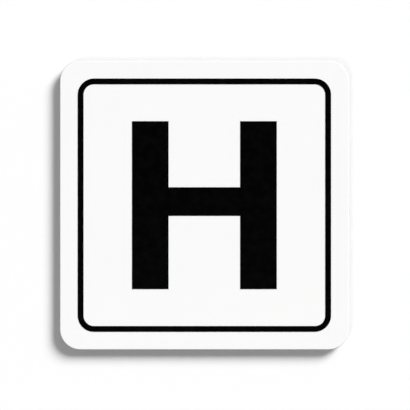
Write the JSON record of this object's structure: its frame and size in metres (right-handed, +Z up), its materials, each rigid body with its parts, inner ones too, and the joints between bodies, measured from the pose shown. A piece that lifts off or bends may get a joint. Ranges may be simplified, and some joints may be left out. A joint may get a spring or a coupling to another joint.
{
  "type": "hydrant sign",
  "caption": "Square white plastic plate with rounded corners, a black frame line and a bold black letter H, with a foam tape pad on its back that sticks it to a wall or cabinet.",
  "frame": {"origin": "middle of the foam tape's outer adhesive face, on the wall's surface", "axes": "+Z up, +Y out of the back into the wall, so the print looks towards -Y and +X is to the right of someone who reads the sign"},
  "size_m": [0.08, 0.0031, 0.08],
  "materials": {
    "white_plastic": "satin sheet with a fine grain, matt along the cut edge",
    "black_ink": "cured ink film, half matt",
    "foam": "closed-cell foam with a tacky adhesive coat on both faces"
  },
  "bodies": {
    "root": {"sign_plate": "white_plastic", "frame_line": "black_ink", "letter_h_print": "black_ink", "foam_tape": "foam"}
  },
  "joints": []
}
